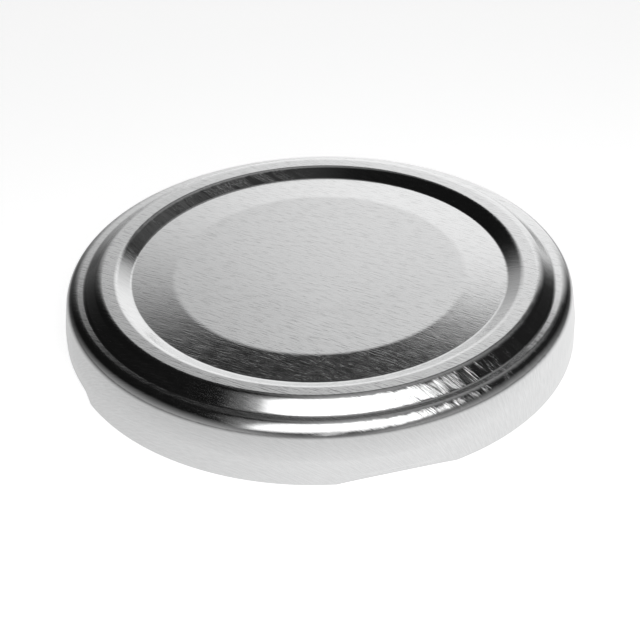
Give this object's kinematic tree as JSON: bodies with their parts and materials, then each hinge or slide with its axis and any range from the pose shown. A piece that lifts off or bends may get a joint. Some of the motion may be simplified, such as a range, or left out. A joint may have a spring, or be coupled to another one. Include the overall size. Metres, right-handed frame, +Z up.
{
  "type": "twist-off jar lid",
  "caption": "Round bright tinplate twist-off lid with a stepped drawn panel, short skirt, inward curl pressed into lugs, and a sealing ring under the rim.",
  "frame": {"origin": "centre of the circle on which the lid stands, at the bottom of its curl", "axes": "+Z up along the lid's axis, out through the top of the panel; the picture looks along +Y from above, with +X to its right; the lugs are centred 15.7 degrees round from +X and every quarter turn from there"},
  "size_m": [0.066, 0.066, 0.0097],
  "materials": {
    "tinplate": "bright tinplate with a fine rolling grain",
    "compound": "smooth flowed-in sealing compound, satin"
  },
  "bodies": {
    "root": {"lid_shell": "tinplate", "sealing_ring": "compound"}
  },
  "joints": []
}
